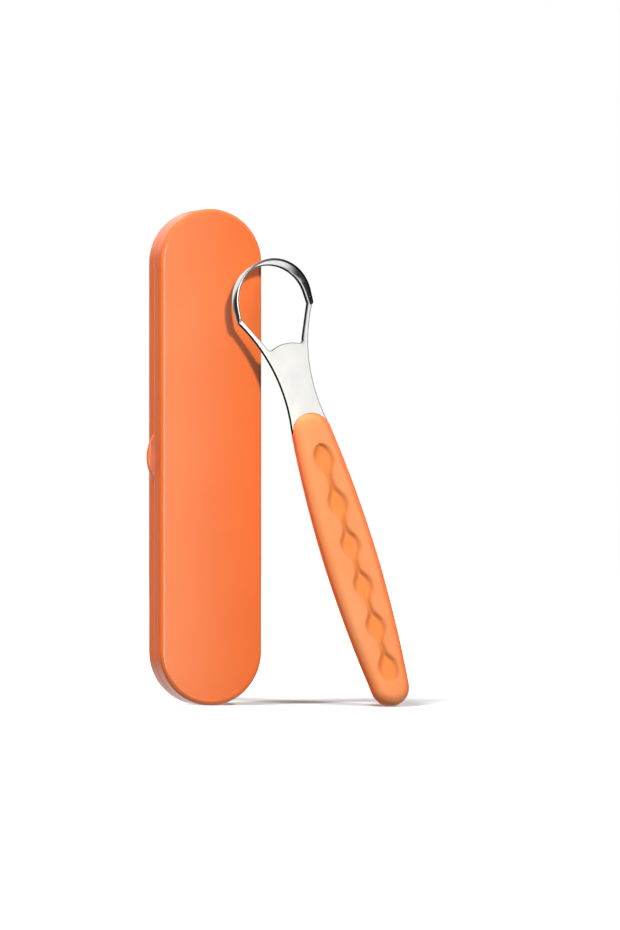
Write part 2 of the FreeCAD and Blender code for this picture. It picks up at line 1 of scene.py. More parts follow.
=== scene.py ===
import math
import bmesh
import bpy
import numpy as np
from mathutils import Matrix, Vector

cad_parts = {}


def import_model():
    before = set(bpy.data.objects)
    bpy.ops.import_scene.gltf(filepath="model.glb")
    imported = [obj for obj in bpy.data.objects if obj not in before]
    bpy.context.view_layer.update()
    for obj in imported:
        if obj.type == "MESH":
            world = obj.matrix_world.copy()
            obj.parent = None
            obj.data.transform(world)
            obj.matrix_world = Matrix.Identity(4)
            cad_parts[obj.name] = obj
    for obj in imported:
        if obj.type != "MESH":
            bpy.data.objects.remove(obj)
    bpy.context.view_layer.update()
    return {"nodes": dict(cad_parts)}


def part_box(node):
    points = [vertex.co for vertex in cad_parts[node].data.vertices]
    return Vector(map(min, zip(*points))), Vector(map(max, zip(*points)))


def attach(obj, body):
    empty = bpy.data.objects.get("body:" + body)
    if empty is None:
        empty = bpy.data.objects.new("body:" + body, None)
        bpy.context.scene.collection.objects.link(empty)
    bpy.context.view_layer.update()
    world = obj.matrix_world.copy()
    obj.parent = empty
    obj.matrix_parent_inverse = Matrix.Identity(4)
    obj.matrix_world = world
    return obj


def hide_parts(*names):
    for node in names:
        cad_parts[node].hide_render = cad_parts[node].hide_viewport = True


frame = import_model()
mm = 0.001  # the dictionaries below are in millimetres, the meshes in metres
print("frame loaded:", len(frame["nodes"]), "nodes")


# Four-cornered faces of a grid of points, numbered row by row. A wrapped direction joins its last line to
# its first.
def gridFaces(rows, columns, wrapRows=False, wrapColumns=False):
    row, column = np.meshgrid(np.arange(rows if wrapRows else rows - 1),
                              np.arange(columns if wrapColumns else columns - 1), indexing="ij")
    here, below, beside = row * columns, (row + 1) % rows * columns, (column + 1) % columns
    corners = [here + column, here + beside, below + beside, below + column]
    return np.stack(corners, -1).reshape(-1, 4)


# A surface is a grid of points with its faces and, for the finishes, marks from 0 to 1 at each point.
def surface(points, wrapRows=False, wrapColumns=False, **marks):
    rows, columns = points.shape[:2]
    return {"points": points.reshape(-1, 3), "faces": gridFaces(rows, columns, wrapRows, wrapColumns),
            "marks": {name: np.broadcast_to(mark, (rows, columns)).ravel() for name, mark in marks.items()}}


# Adds a row at each end, drawn together to that end's middle, so that a tube is closed.
def closeEnds(points):
    first = np.broadcast_to(points[:1].mean(1, keepdims=True), points[:1].shape)
    last = np.broadcast_to(points[-1:].mean(1, keepdims=True), points[-1:].shape)
    return np.concatenate([first, points, last])


# One mesh from several surfaces: seams and poles merged, faces turned outwards, and edges past the angle
# kept sharp.
def makePiece(name, surfaces, body, material, nodes, sharpAngle=38):
    starts = np.cumsum([0] + [len(part["points"]) for part in surfaces])
    points = np.concatenate([part["points"] for part in surfaces]) * mm
    faces = np.concatenate([part["faces"] + start for part, start in zip(surfaces, starts)])
    mesh = bpy.data.meshes.new(name)
    mesh.from_pydata(points.tolist(), [], faces.tolist())
    for mark in sorted({mark for part in surfaces for mark in part["marks"]}):
        values = [part["marks"].get(mark, np.zeros(len(part["points"]))) for part in surfaces]
        mesh.attributes.new(mark, "FLOAT", "POINT").data.foreach_set("value", np.concatenate(values))
    shape = bmesh.new()
    shape.from_mesh(mesh)
    bmesh.ops.remove_doubles(shape, verts=shape.verts, dist=2e-7)
    bmesh.ops.dissolve_degenerate(shape, dist=1e-8, edges=shape.edges)
    bmesh.ops.recalc_face_normals(shape, faces=shape.faces)
    shape.to_mesh(mesh)
    shape.free()
    mesh.shade_smooth()
    mesh.set_sharp_from_angle(angle=math.radians(sharpAngle))
    piece = bpy.data.objects.new(name, mesh)
    bpy.context.scene.collection.objects.link(piece)
    mesh.materials.append(material)
    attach(piece, body)
    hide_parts(*nodes)
    print("piece", name, len(mesh.polygons), "faces")
    return piece


# A socket takes a link from another socket, or a plain value.
def setSocket(tree, socket, value):
    if isinstance(value, bpy.types.NodeSocket):
        tree.links.new(value, socket)
    else:
        socket.default_value = value


def addNode(tree, kind, **inputs):
    made = tree.nodes.new(kind)
    for name, value in inputs.items():
        setSocket(tree, made.inputs[name.replace("_", " ")], value)
    return made


def addMath(tree, operation, *values, clamp=False):
    made = tree.nodes.new("ShaderNodeMath")
    made.operation, made.use_clamp = operation, clamp
    for socket, value in zip(made.inputs, values):
        setSocket(tree, socket, value)
    return made.outputs[0]


def addMix(tree, factor, first, second):
    made = tree.nodes.new("ShaderNodeMix")
    made.data_type = "RGBA"
    for socket, value in zip((made.inputs[0], made.inputs[6], made.inputs[7]), (factor, first, second)):
        setSocket(tree, socket, value)
    return made.outputs[2]


# A smooth step: below the first limit one value, above the second the other.
def addRange(tree, value, low, high, toLow, toHigh):
    made = addNode(tree, "ShaderNodeMapRange", Value=value, From_Min=low, From_Max=high, To_Min=toLow,
                   To_Max=toHigh)
    made.interpolation_type = "SMOOTHSTEP"
    return made.outputs[0]


def readMark(tree, name):
    made = tree.nodes.new("ShaderNodeAttribute")
    made.attribute_name = name
    return made.outputs["Fac"]


def newGroup(name, inputs, outputs):
    group = bpy.data.node_groups.new(name, "ShaderNodeTree")
    for label, kind, value in inputs:
        socket = group.interface.new_socket(label, in_out="INPUT", socket_type=kind)
        if value is not None:
            socket.default_value = value
    for label in outputs:
        group.interface.new_socket(label, in_out="OUTPUT", socket_type="NodeSocketFloat")
    return group, group.nodes.new("NodeGroupInput").outputs, group.nodes.new("NodeGroupOutput").inputs


def useGroup(tree, group, **inputs):
    made = tree.nodes.new("ShaderNodeGroup")
    made.node_tree = group
    for name, value in inputs.items():
        setSocket(tree, made.inputs[name], value)
    return made.outputs


# Moulded skin: a fine grain from the mould, slow clouds in the pigment, and thin handling scratches.
def mouldedSkinGroup():
    group, given, out = newGroup("mouldedSkin", [("Vector", "NodeSocketVector", None),
                                                 ("Grain", "NodeSocketFloat", 3000.0),
                                                 ("Clouds", "NodeSocketFloat", 40.0),
                                                 ("Scratches", "NodeSocketFloat", 90.0)],
                                 ["Grain", "Clouds", "Scratches"])
    grain = addNode(group, "ShaderNodeTexNoise", Vector=given["Vector"], Scale=given["Grain"], Detail=3.0)
    clouds = addNode(group, "ShaderNodeTexNoise", Vector=given["Vector"], Scale=given["Clouds"], Detail=4.0)
    bend = addNode(group, "ShaderNodeTexNoise", Vector=given["Vector"], Scale=given["Scratches"], Detail=2.0)
    scratch = addNode(group, "ShaderNodeTexVoronoi", Vector=bend.outputs["Color"], Scale=9.0)
    scratch.feature = "DISTANCE_TO_EDGE"
    line = addRange(group, scratch.outputs["Distance"], 0.0, 0.012, 1.0, 0.0)
    patchy = addRange(group, clouds.outputs[0], 0.5, 0.68, 0.0, 1.0)
    group.links.new(grain.outputs[0], out["Grain"])
    group.links.new(clouds.outputs[0], out["Clouds"])
    group.links.new(addMath(group, "MULTIPLY", line, patchy), out["Scratches"])
    return group


# Drawn steel: streaks along the X of the given vector, and soft smudges left by fingers and water.
def drawnSteelGroup():
    group, given, out = newGroup("drawnSteel", [("Vector", "NodeSocketVector", None),
                                                ("Streaks", "NodeSocketFloat", 6000.0),
                                                ("Smudges", "NodeSocketFloat", 120.0)],
                                 ["Streaks", "Smudges"])
    squeeze = addNode(group, "ShaderNodeMapping", Vector=given["Vector"], Scale=(0.02, 1.0, 1.0))
    streaks = addNode(group, "ShaderNodeTexNoise", Vector=squeeze.outputs[0], Scale=given["Streaks"],
                      Detail=3.0)
    smudges = addNode(group, "ShaderNodeTexNoise", Vector=given["Vector"], Scale=given["Smudges"], Detail=4.0)
    group.links.new(streaks.outputs[0], out["Streaks"])
    group.links.new(addRange(group, smudges.outputs[0], 0.42, 0.7, 0.0, 1.0), out["Smudges"])
    return group


mouldedSkin, drawnSteel = mouldedSkinGroup(), drawnSteelGroup()


def newMaterial(name):
    material = bpy.data.materials.new(name)
    material.use_nodes = True
    tree = material.node_tree
    place = addNode(tree, "ShaderNodeTexCoord").outputs["Object"]
    return material, tree, tree.nodes["Principled BSDF"], place


def addBump(tree, shader, height, distance, strength):
    made = addNode(tree, "ShaderNodeBump", Height=height, Distance=distance, Strength=strength)
    tree.links.new(made.outputs[0], shader.inputs["Normal"])


# Glossy moulded orange, with a painted highlight that pales it in patches along the marked edges.
def casePlasticMaterial():
    look = {"orange": (0.91, 0.165, 0.027, 1), "deep": (0.89, 0.155, 0.024, 1),
            "paleHighlight": (0.98, 0.36, 0.16, 1), "leastHighlight": 0.35, "mostHighlight": 0.6, "rough": 0.16,
            "cloudRough": 0.04, "scratchRough": 0.12, "scratchDepth": 0.6, "bump": 0.00002, "bumpShare": 0.12}
    material, tree, shader, place = newMaterial("casePlastic")
    skin = useGroup(tree, mouldedSkin, Vector=place, Grain=900.0, Clouds=28.0, Scratches=60.0)
    cloudy = addRange(tree, skin["Clouds"], 0.35, 0.65, 0.0, 1.0)
    colour = addMix(tree, cloudy, look["orange"], look["deep"])
    patches = addRange(tree, skin["Clouds"], 0.4, 0.6, look["leastHighlight"], look["mostHighlight"])
    # painted highlight: the edge mark pales the orange along the edge fillet, the parting rims, the lip and
    # the tab
    highlightShare = addMath(tree, "MULTIPLY", readMark(tree, "edge"), patches)
    tree.links.new(addMix(tree, highlightShare, colour, look["paleHighlight"]), shader.inputs["Base Color"])
    rough = addMath(tree, "MULTIPLY_ADD", skin["Clouds"], look["cloudRough"], look["rough"])
    rough = addMath(tree, "MULTIPLY_ADD", skin["Scratches"], look["scratchRough"], rough)
    tree.links.new(rough, shader.inputs["Roughness"])
    height = addMath(tree, "MULTIPLY_ADD", skin["Scratches"], -look["scratchDepth"], skin["Grain"])
    addBump(tree, shader, height, look["bump"], look["bumpShare"])
    return material


# Satin soft orange: pale on the faces, with painted shade deeper round the sides, in the hollows and,
# brownish, in their walls.
def gripRubberMaterial():
    look = {"face": (0.97, 0.335, 0.132, 1), "mottle": (0.96, 0.315, 0.112, 1),
            "side": (0.93, 0.125, 0.016, 1), "hollow": (0.95, 0.28, 0.07, 1), "wall": (0.60, 0.185, 0.045, 1),
            "rough": 0.36, "grainRough": 0.14, "scratchRough": -0.1, "bump": 0.00004, "bumpShare": 0.25,
            "gloss": 0.25, "depth": 0.45, "depthColours": (1.0, 0.4, 0.15), "depthReach": 0.003}
    material, tree, shader, place = newMaterial("gripRubber")
    skin = useGroup(tree, mouldedSkin, Vector=place, Grain=4200.0, Clouds=45.0, Scratches=70.0)
    colour = addMix(tree, addRange(tree, skin["Clouds"], 0.35, 0.65, 0.0, 1.0), look["face"], look["mottle"])
    # painted shade round the sides
    colour = addMix(tree, readMark(tree, "side"), colour, look["side"])
    # painted shade inside the hollows
    colour = addMix(tree, readMark(tree, "hollow"), colour, look["hollow"])
    # painted shade, brownish, in the walls of the hollows
    colour = addMix(tree, readMark(tree, "wall"), colour, look["wall"])
    tree.links.new(colour, shader.inputs["Base Color"])
    rough = addMath(tree, "MULTIPLY_ADD", skin["Grain"], look["grainRough"], look["rough"])
    rough = addMath(tree, "MULTIPLY_ADD", skin["Scratches"], look["scratchRough"], rough)
    tree.links.new(rough, shader.inputs["Roughness"])
    shader.inputs["Specular IOR Level"].default_value = look["gloss"]
    shader.inputs["Subsurface Weight"].default_value = look["depth"]
    shader.inputs["Subsurface Radius"].default_value = look["depthColours"]
    shader.inputs["Subsurface Scale"].default_value = look["depthReach"]
    addBump(tree, shader, skin["Grain"], look["bump"], look["bumpShare"])
    return material


# Plain moulded orange of the core inside the handle.
def corePlasticMaterial():
    look = {"orange": (0.90, 0.30, 0.09, 1), "pale": (0.92, 0.36, 0.13, 1), "rough": 0.45, "grainRough": 0.15,
            "bump": 0.00003, "bumpShare": 0.2}
    material, tree, shader, place = newMaterial("corePlastic")
    skin = useGroup(tree, mouldedSkin, Vector=place, Grain=1500.0, Clouds=60.0, Scratches=80.0)
    tree.links.new(addMix(tree, skin["Clouds"], look["orange"], look["pale"]), shader.inputs["Base Color"])
    rough = addMath(tree, "MULTIPLY_ADD", skin["Grain"], look["grainRough"], look["rough"])
    tree.links.new(rough, shader.inputs["Roughness"])
    addBump(tree, shader, skin["Grain"], look["bump"], look["bumpShare"])
    return material


# Polished stainless with a faint grain along the blade, or along the wire of a pin; painted shade turns the
# marked edges of the blade near black.
def steelMaterial(name, look):
    finish = {"streakRough": 0.10, "smudgeRough": 0.05, "bump": 0.000004, "bumpShare": 0.15}
    material, tree, shader, place = newMaterial(name)
    turned = addNode(tree, "ShaderNodeMapping", Vector=place, Rotation=look["turn"]).outputs[0]
    steel = useGroup(tree, drawnSteel, Vector=turned, Streaks=look["streaks"], Smudges=look["smudges"])
    colour = addMix(tree, steel["Smudges"], look["clean"], look["smudged"])
    # painted shade: near black where the edge-shade mark is set
    colour = addMix(tree, readMark(tree, "cut"), colour, look["cut"])
    tree.links.new(colour, shader.inputs["Base Color"])
    shader.inputs["Metallic"].default_value = 1.0
    rough = addMath(tree, "MULTIPLY_ADD", steel["Streaks"], finish["streakRough"], look["polish"])
    rough = addMath(tree, "MULTIPLY_ADD", steel["Smudges"], finish["smudgeRough"], rough)
    tree.links.new(rough, shader.inputs["Roughness"])
    addBump(tree, shader, steel["Streaks"], finish["bump"], finish["bumpShare"])
    return material


casePlastic, gripRubber, corePlastic = casePlasticMaterial(), gripRubberMaterial(), corePlasticMaterial()
print("plastics made")

# Travel case: two shells on one stadium outline, joined by two pin hinges on the right.
# The edge, rim and lip highlight values set how strongly a painted highlight pales the edge fillet, the
# parting rims and the lip.
case = {"length": 180.0, "width": 39.0, "depth": 7.4, "wall": 1.3, "edgeRadius": 1.6, "floorRadius": 0.8,
        "halfGap": 0.05, "rimRound": 0.28, "lipThickness": 0.6, "lipHeight": 1.4, "lipClearance": 0.12,
        "lipRound": 0.15, "beadRadius": 0.45, "beadReach": 0.2, "beadLength": 12.0, "beadEase": 0.6,
        "ribShares": (0.2, 0.4556), "edgeHighlight": 0.25, "rimHighlight": 1.0, "lipHighlight": 0.5, "runSteps": 48,
        "arcSteps": 72}
hinge = {"spacing": 90.0, "offset": 0.8, "pad": 1.0, "knuckleRadius": 1.4, "knuckleLength": 6.0,
         "knuckleGap": 0.25, "relief": 0.3, "pinRadius": 0.6, "pinChamfer": 0.15, "bore": 0.63,
         "eyeRound": 0.18, "foot": 0.3}
half, gap = case["width"] / 2, case["halfGap"]
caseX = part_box("front_shell")[0].x / mm + half
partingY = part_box("front_shell")[0].y / mm + case["depth"]
hingeX = caseX + half + hinge["offset"]
stations = case["length"] / 2 + hinge["spacing"] / 2 * np.array([-1, 1])
reliefHalf = hinge["knuckleLength"] * 1.5 + hinge["knuckleGap"] * 2  # three knuckles with their gaps
reliefRadius = hinge["knuckleRadius"] + hinge["relief"]


# Walks round the stadium: right run, top arc, left run, bottom arc. Each step has the angle of its outward
# normal and the height of the point on the case's middle line that it is measured from.
def stadiumWalk():
    reaches = reliefHalf + np.array([0, case["wall"], case["wall"] + case["lipClearance"]])
    steps = (stations[:, None, None, None] + reaches[:, None, None] * np.array([-1, 1])[:, None]
             + np.array([-0.02, 0.02])).ravel()
    bead = case["length"] / 2 + np.array([-1, -0.95, -0.8, 0.8, 0.95, 1]) * case["beadLength"] / 2
    run = np.unique(np.concatenate([np.linspace(half, case["length"] - half, case["runSteps"]), steps, bead]))
    turn = np.linspace(0, math.pi, case["arcSteps"] + 1)[1:-1]
    angle = np.concatenate([np.zeros(len(run)), turn, np.full(len(run), math.pi), turn + math.pi])
    middle = np.concatenate([run, np.full(len(turn), run[-1]), run[::-1], np.full(len(turn), run[0])])
    return angle, middle


# Half a case: a profile of outline distance and depth carried round the stadium. It runs from the middle of
# the outer face over the rounded edge and down the wall to the rim, then back inside to the middle of the
# floor. Round the hinges the outer wall is held inside a groove and the inner wall stands in by a pad. Rows
# close beside each edge keep the shading of the flats even.
def shellSurface(front):
    angle, middle = stadiumWalk()
    onRight, onLeft = angle == 0, angle == math.pi
    away = np.abs(middle[:, None] - stations).min(1)
    relief, padded = onRight & (away < reliefHalf), onRight & (away < reliefHalf + case["wall"])
    lipGap = onRight & (away < reliefHalf + case["wall"] + case["lipClearance"])
    beadOff = np.abs(middle - case["length"] / 2)
    beadShare = onLeft * np.clip((case["beadLength"] / 2 - beadOff) / case["beadEase"], 0, 1)
    inner = half - case["wall"] - padded * hinge["pad"]
    depth, edge, floor = case["depth"], case["edgeRadius"], case["depth"] - case["wall"]
    quarter = np.linspace(0, math.pi / 2, 12)[:, None]
    full = np.zeros(len(angle))

    def strip(out, deep, mark=0.0):
        out, deep = np.broadcast_arrays(out + full, deep + full)
        return np.stack([out, deep, np.full(out.shape, mark)])

    def column(start, end, count):
        return start + (end - start) * np.linspace(0, 1, count)[:, None]

    def beadBulge(deep, radius):
        ridge = np.sqrt(np.maximum(radius ** 2 - (np.abs(deep) - case["lipHeight"] / 2) ** 2, 0))
        return beadShare * np.maximum(ridge - (radius - case["beadReach"]), 0)

    rimTurn, rimSoft = np.linspace(0, math.pi / 2, 5)[:, None], case["rimRound"]
    # a strip's mark is how strongly the painted highlight pales it
    outside = np.concatenate([
        strip(column(0, half - edge - 0.4, 6), depth),
        strip(column(half - edge - 0.05, half - edge - 0.02, 2), depth),
        strip(half - edge + edge * np.sin(quarter), depth - edge + edge * np.cos(quarter), case["edgeHighlight"]),
        strip(half, column(depth - edge - 0.1, reliefRadius + 0.2, 7)),
        strip(half, column(reliefRadius + 0.1, gap + rimSoft + 0.03, 14)),
        strip(half - rimSoft * (1 - np.cos(rimTurn)), gap + rimSoft * (1 - np.sin(rimTurn)), case["rimHighlight"]),
    ], axis=1)
    if front:
        stepOut = half - case["wall"] + case["lipThickness"] + case["lipClearance"]
        stepDeep = np.where(padded, gap, case["lipHeight"] + case["lipClearance"])
        stepWall = column(gap + 0.02, stepDeep, 10)
        rim = [strip(column(half - 0.3, stepOut + 0.03, 3), gap),
               strip(stepOut + beadBulge(stepWall, case["beadRadius"] + case["lipClearance"]), stepWall),
               strip(column(stepOut - 0.03, inner, 4), stepDeep)]
        innerTop = stepDeep
    else:
        lipOut = half - case["wall"] + case["lipThickness"]
        lipRound = np.where(lipGap, 0, case["lipRound"])
        lipTop = np.where(lipGap, gap, -case["lipHeight"])
        lipWall = column(gap - 0.02, lipTop + lipRound, 14)
        slide, fall = lipRound * (1 - np.cos(rimTurn)), lipRound * (1 - np.sin(rimTurn))
        rim = [strip(column(half - 0.3, lipOut + 0.03, 3), gap),
               strip(lipOut + beadBulge(lipWall, case["beadRadius"]), lipWall),
               strip(lipOut - slide, lipTop + fall, case["lipHighlight"]),
               strip(inner + fall, lipTop + slide, case["lipHighlight"])]
        innerTop = lipTop + lipRound
    fillet = case["floorRadius"]
    inside = np.concatenate(rim + [
        strip(inner, column(innerTop + 0.02, floor - fillet - 0.05, 7)),
        strip(inner - fillet * (1 - np.cos(quarter)), floor - fillet * (1 - np.sin(quarter))),
        strip(column(inner - fillet - 0.05, full, 6), floor),
    ], axis=1)
    out, deep, highlightMark = np.concatenate([outside, inside], axis=1)
    groove = half + hinge["offset"] - np.sqrt(np.maximum(reliefRadius ** 2 - deep ** 2, 0))
    out = np.where(relief & (np.abs(deep) < reliefRadius), np.minimum(out, groove), out)
    points = np.stack([caseX + out * np.cos(angle), partingY + deep * (-1 if front else 1),
                       middle + out * np.sin(angle)], -1)
    return surface(points, wrapColumns=True, edge=highlightMark)


# A knuckle is a ring round the hinge axis: at each turn a section runs out from the bore to the round eye or,
# on the side of its own shell, to a slanted foot in the wall, and back down.
def knuckleSurface(height, side):
    turn = np.linspace(0, 2 * math.pi, 73)[:-1]
    along, across = -np.cos(turn), np.sin(turn) * side
    eye, footDeep = hinge["knuckleRadius"], hinge["knuckleRadius"] + hinge["relief"] + hinge["foot"]
    slope = (footDeep - eye) / hinge["offset"]
    onFoot = (along > 1e-6) & (across > 1e-6)
    far = np.maximum(along, 1e-6), np.maximum(across, 1e-6), np.maximum(across - slope * along, 1e-6)
    foot = np.minimum((hinge["offset"] + case["wall"]) / far[0], np.minimum(footDeep / far[1], eye / far[2]))
    reach = np.where(onFoot, np.maximum(foot, eye), eye)
    soft, tall = hinge["eyeRound"], hinge["knuckleLength"] / 2
    bend = np.linspace(0, math.pi / 2, 4)[:, None]
    topR, topZ = reach - soft * (1 - np.sin(bend)), tall - soft * (1 - np.cos(bend))
    bore = np.full((1, len(turn)), hinge["bore"])
    radius = np.concatenate([bore, bore, topR, topR[::-1]])
    rise = np.concatenate([0 * bore - tall, 0 * bore + tall, topZ + 0 * turn, -topZ[::-1] + 0 * turn])
    points = np.stack([hingeX - radius * along, partingY + radius * np.sin(turn), height + rise], -1)
    return surface(points, wrapRows=True, wrapColumns=True)


# The thumb tab is a lens in the parting plane: at each height a flat bar with rounded edges reaches out from
# the wall by the height of a circle over its chord.
def tabSurface():
    tab = {"length": 17.0, "reach": 2.5, "thickness": 2.0, "round": 0.5, "root": 0.3, "highlight": 0.05}
    share = np.sin(np.linspace(-math.pi / 2, math.pi / 2, 61))[None, :]
    sagitta, chord = tab["reach"] + tab["root"], tab["length"] / 2
    radius = (chord ** 2 + sagitta ** 2) / (2 * sagitta)
    reach = np.sqrt(radius ** 2 - (share * chord) ** 2) - (radius - sagitta)
    soft = np.minimum(tab["round"], reach * 0.98)
    bend = np.linspace(0, math.pi / 2, 6)[:, None]
    near, far = gap, gap + tab["thickness"]
    slide, fall = soft * (1 - np.cos(bend)), soft * (1 - np.sin(bend))
    out = np.concatenate([0 * reach, reach - fall, reach - slide, 0 * reach])
    deep = np.concatenate([0 * reach + near, near + slide, far - fall, 0 * reach + far])
    height = case["length"] / 2 + share * chord + 0 * out
    points = np.stack([caseX - half + tab["root"] - out, partingY + deep, height], -1)
    # painted highlight: the whole tab is paled faintly
    return surface(points, wrapRows=True, edge=tab["highlight"])


# A cradle rib is a thin cross wall: over the width of the case its top runs level, dips round a quarter
# circle on each side into the seat of the handle, and its two top edges are rounded.
def ribSurface(height):
    rib = {"thickness": 1.2, "top": 0.7, "seat": 2.8, "notchHalf": 10.3, "round": 0.25, "sink": 0.3}
    floor, bend = case["depth"] - case["wall"], rib["seat"] - rib["top"]
    across = np.linspace(-1, 1, 161)[:, None] * (half - case["wall"] + rib["sink"])
    past = np.clip(np.abs(across) - (rib["notchHalf"] - bend), 0, bend)
    top = rib["top"] + np.sqrt(bend ** 2 - past ** 2)
    turn = np.linspace(0, math.pi / 2, 4)
    slide, fall = rib["round"] * (1 - np.cos(turn)), rib["round"] * (1 - np.sin(turn))
    thick = np.concatenate([[0], slide, rib["thickness"] - fall, [rib["thickness"]]])
    rise = np.concatenate([fall, slide])
    deep = np.concatenate([0 * top + floor + rib["sink"], top + rise, 0 * top + floor + rib["sink"]], axis=1)
    points = np.stack([caseX + across + 0 * deep, partingY + deep, height + thick + 0 * deep], -1)
    return surface(closeEnds(points), wrapColumns=True)


# A pin is a chamfered profile turned round the hinge axis.
def pinSurface(height):
    long = hinge["knuckleLength"] * 1.5 + hinge["knuckleGap"]
    wide, chamfer = hinge["pinRadius"], hinge["pinChamfer"]
    thin = wide - chamfer
    radius = np.array([0, thin, wide, wide, wide, thin, 0])[:, None]
    rise = np.array([-long, -long, chamfer - long, 0, long - chamfer, long, long])[:, None]
    turn = np.linspace(0, 2 * math.pi, 33)[:-1]
    points = np.stack([hingeX + radius * np.cos(turn), partingY + radius * np.sin(turn),
                       height + rise + 0 * turn], -1)
    return surface(points, wrapColumns=True)


ribHeights = case["length"] * np.array(case["ribShares"])
knuckleStep = hinge["knuckleLength"] + hinge["knuckleGap"]
frontShell = makePiece("frontShell", [shellSurface(True)] + [knuckleSurface(z, -1) for z in stations],
                       "case_front", casePlastic, ["front_shell"])
rearParts = [shellSurface(False), tabSurface()] + [ribSurface(z) for z in ribHeights]
rearParts += [knuckleSurface(z + end * knuckleStep, 1) for z in stations for end in (-1, 1)]
rearShell = makePiece("rearShell", rearParts, "case_rear", casePlastic, ["rear_shell"])
pinSteel = steelMaterial("pinSteel", {"clean": (0.62, 0.62, 0.62, 1), "smudged": (0.55, 0.55, 0.54, 1),
                                      "cut": (0.4, 0.4, 0.4, 1), "polish": 0.22, "streaks": 9000.0,
                                      "smudges": 300.0, "turn": (0, math.pi / 2, 0)})
for name, height in zip(("lower", "upper"), stations):
    makePiece(name + "HingePin", [pinSurface(height)],
              "case_rear", pinSteel, [name + "_hinge_pin"])

# Scraper: its own axes are the width, the length from tail to loop and the outward side of the blade.
scraper = {"length": 167.9, "tilt": 14.5, "lean": 10.0}
tilt, lean = math.radians(scraper["tilt"]), math.radians(scraper["lean"])
up = np.array([0, math.sin(lean), math.cos(lean)])
side = np.array([1.0, 0, 0])
widthAxis = side * math.cos(tilt) + up * math.sin(tilt)
lengthAxis = up * math.cos(tilt) - side * math.sin(tilt)
outAxis = np.array([0, -math.cos(lean), math.sin(lean)])


# A place on the scraper's own axes, turned into the room: each measure times its axis, added up.
def leaned(across, along, out):
    across, along, out = np.broadcast_arrays(across, along, out)
    return across[..., None] * widthAxis + along[..., None] * lengthAxis + out[..., None] * outAxis


# The side-shade values set the painted shade round the sides of the grip.
grip = {"length": 110.6, "width": 20.2, "bellyShare": 0.522, "thickness": 8.6, "tailRadius": 7.1,
        "mouthRadius": 7.4, "edgeRadius": 3.6, "crown": 0.22, "sideShade": 0.9, "sideShadeFall": 0.7, "sideShadeReach": 0.18,
        "sideShadeRight": 0.7, "sideShadeUp": 0.12, "sideShadeLeast": 0.04, "sideSteps": 300, "endSteps": 28,
        "faceSteps": 46}
hollow = {"depth": 0.9, "halfWidth": 3.55, "neckHalf": 0.85, "low": 13.8, "topDrop": 17.6, "topShare": 0.2172,
          "evenGaps": 4, "endReach": 5.2, "waveFall": 1.2, "wall": 2.4, "wallStart": 0.3, "shadeMiddle": 0.1,
          "shadeSpread": 0.4, "shadeRight": 0.85, "shadeLeft": 0.55}


# The round side of the spindle touches both end circles from inside and passes through the belly: the radius
# is the one at which the belly point lies on it, found by halving.
def sideArc():
    low, high = grip["tailRadius"], grip["length"] - grip["mouthRadius"]
    spread = grip["mouthRadius"] - grip["tailRadius"]

    def arc(radius):
        level = (high ** 2 - grip["mouthRadius"] ** 2 + 2 * radius * spread) / (2 * (high - low))
        return level, math.sqrt((radius - low) ** 2 - (low - level) ** 2)

    small, large = grip["length"], grip["length"] * 20
    for _ in range(60):
        radius = (small + large) / 2
        level, back = arc(radius)
        short = math.hypot(grip["width"] / 2 + back, grip["length"] * grip["bellyShare"] - level) < radius
        small, large = (radius, large) if short else (small, radius)
    return radius, level, back


# Walks round the spindle by the angle of its outward normal, up the right side and down the left. Each step
# has its place, its normal and the distance along the normal to the middle line.
def spindleWalk():
    radius, level, back = sideArc()
    low, high = grip["tailRadius"], grip["length"] - grip["mouthRadius"]
    fromTail, toMouth = math.atan2(low - level, back), math.atan2(high - level, back)
    tailTurn = np.linspace(-math.pi / 2, fromTail, grip["endSteps"], endpoint=False)
    sideTurn = np.linspace(fromTail, toMouth, grip["sideSteps"], endpoint=False)
    mouthTurn = np.linspace(toMouth, math.pi / 2, grip["endSteps"])
    turn = np.concatenate([tailTurn, sideTurn, mouthTurn])
    across = np.concatenate([low * np.cos(tailTurn), radius * np.cos(sideTurn) - back,
                             grip["mouthRadius"] * np.cos(mouthTurn)])
    along = np.concatenate([low + low * np.sin(tailTurn), level + radius * np.sin(sideTurn),
                            high + grip["mouthRadius"] * np.sin(mouthTurn)])
    sideIn = across[len(tailTurn):-len(mouthTurn)] / np.cos(sideTurn)
    inward = np.concatenate([np.full(len(tailTurn), low), sideIn,
                             np.full(len(mouthTurn), grip["mouthRadius"])])
    flip = slice(-2, 0, -1)
    return (np.concatenate([across, -across[flip]]), np.concatenate([along, along[flip]]),
            np.concatenate([np.cos(turn), -np.cos(turn[flip])]),
            np.concatenate([np.sin(turn), np.sin(turn[flip])]), np.concatenate([inward, inward[flip]]))


# Half-width of the chain of hollows at a height: a raised cosine between neck and bulb that runs through the
# six middles, and half an oval past the first and the last.
def hollowHalf(along):
    run = grip["length"] - hollow["low"] - hollow["topDrop"]
    topPitch = run * hollow["topShare"]
    even = np.arange(hollow["evenGaps"] + 1) * (run - topPitch) / hollow["evenGaps"]
    steps = np.append(even, run) + hollow["low"]
    phase = np.interp(along, steps, np.arange(len(steps)))
    wave = (0.5 + 0.5 * np.cos(2 * math.pi * phase)) ** hollow["waveFall"]
    wave = wave * (0.5 + wave * (1.5 - wave))  # fuller bulbs, steeper flanks
    body = hollow["neckHalf"] + (hollow["halfWidth"] - hollow["neckHalf"]) * wave
    past, end = np.maximum(steps[0] - along, along - steps[-1]), hollow["endReach"]
    oval = hollow["halfWidth"] * np.sqrt(np.maximum(1 - (np.maximum(past, 0) / end) ** 2, 0))
    return np.where(past > 0, np.where(past < end, oval, end - past), body)
